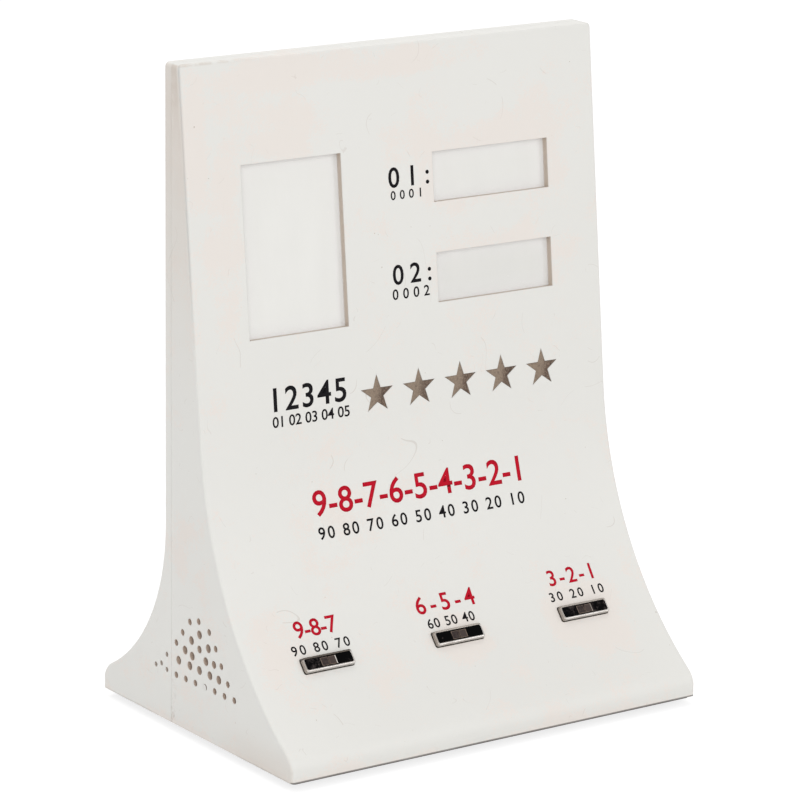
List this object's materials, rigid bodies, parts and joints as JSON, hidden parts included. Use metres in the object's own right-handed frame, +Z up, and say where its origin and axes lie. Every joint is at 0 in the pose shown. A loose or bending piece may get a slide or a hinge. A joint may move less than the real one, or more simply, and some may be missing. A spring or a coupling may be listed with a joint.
{
  "type": "customer feedback button terminal",
  "caption": "Free-standing counter terminal with a leaning face swept into a wide foot, card windows, star lamps, sprung rating keys, a side speaker grille and a rear data socket.",
  "frame": {"origin": "on the counter, under the middle of the base's length and depth, at the feet's soles", "axes": "+Z up, +X to the customer's right, +Y from the customer's side to the back; the face looks towards -Y"},
  "size_m": [0.15, 0.1064, 0.2053],
  "materials": {
    "shell": "satin moulded warm white",
    "plate": "thin beige-red lacquer on sheet steel",
    "rubber_feet": "matt black",
    "screws": "zinc plated",
    "card_holder": "matt white",
    "panes": "clear glossy sheet",
    "cards": "plain white card",
    "star_lens": "smoky translucent",
    "boards": "green solder mask",
    "lamps": "tinted clear resin",
    "chips": "black resin",
    "key_caps": "bright plated",
    "key_lenses": "polished black",
    "light_guides": "smoky translucent",
    "switches": "moulded black",
    "switch_stems": "moulded red-brown",
    "speaker_basket": "black lacquer",
    "speaker_cone": "black paper",
    "speaker_magnet": "sintered grey",
    "data_socket": "tinned sheet",
    "plugs": "cream moulding",
    "ribbons": "grey insulation",
    "lead": "black insulation"
  },
  "bodies": {
    "terminal": {"front_shell": "shell", "rear_shell": "shell", "base_plate": "plate", "rubber_feet": "rubber_feet", "base_screws": "screws", "shell_screws": "screws", "holder_screws": "screws", "star_board_screws": "screws", "key_board_screws": "screws", "main_board_screws": "screws", "speaker_screws": "screws", "card_holder": "card_holder", "photo_pane": "panes", "name_pane": "panes", "number_pane": "panes", "photo_card": "cards", "name_card": "cards", "number_card": "cards", "star_lens": "star_lens", "star_board": "boards", "star_lamps": "lamps", "key_board": "boards", "key_lamps": "lamps", "switch_bodies": "switches", "speaker_basket": "speaker_basket", "speaker_cone": "speaker_cone", "speaker_magnet": "speaker_magnet", "main_board": "boards", "board_spacers": "screws", "main_board_chips": "chips", "data_socket": "data_socket", "main_board_plugs": "plugs", "key_board_plug": "plugs", "star_board_plug": "plugs", "key_ribbon": "ribbons", "star_ribbon": "ribbons", "speaker_lead": "lead"},
    "good_key": {"good_key_cap": "key_caps", "good_key_lens": "key_lenses", "good_light_guide": "light_guides", "good_switch_stems": "switch_stems"},
    "fair_key": {"fair_key_cap": "key_caps", "fair_key_lens": "key_lenses", "fair_light_guide": "light_guides", "fair_switch_stems": "switch_stems"},
    "poor_key": {"poor_key_cap": "key_caps", "poor_key_lens": "key_lenses", "poor_light_guide": "light_guides", "poor_switch_stems": "switch_stems"}
  },
  "joints": [
    {"name": "good_key_press", "type": "slide", "parent": "terminal", "child": "good_key", "axis": [0, 0.761, -0.6488], "range_m": [0, 0.001], "stiffness_N_per_m": 1500, "springref_m": -0.0003},
    {"name": "fair_key_press", "type": "slide", "parent": "terminal", "child": "fair_key", "axis": [0, 0.761, -0.6488], "range_m": [0, 0.001], "stiffness_N_per_m": 1500, "springref_m": -0.0003},
    {"name": "poor_key_press", "type": "slide", "parent": "terminal", "child": "poor_key", "axis": [0, 0.761, -0.6488], "range_m": [0, 0.001], "stiffness_N_per_m": 1500, "springref_m": -0.0003}
  ]
}
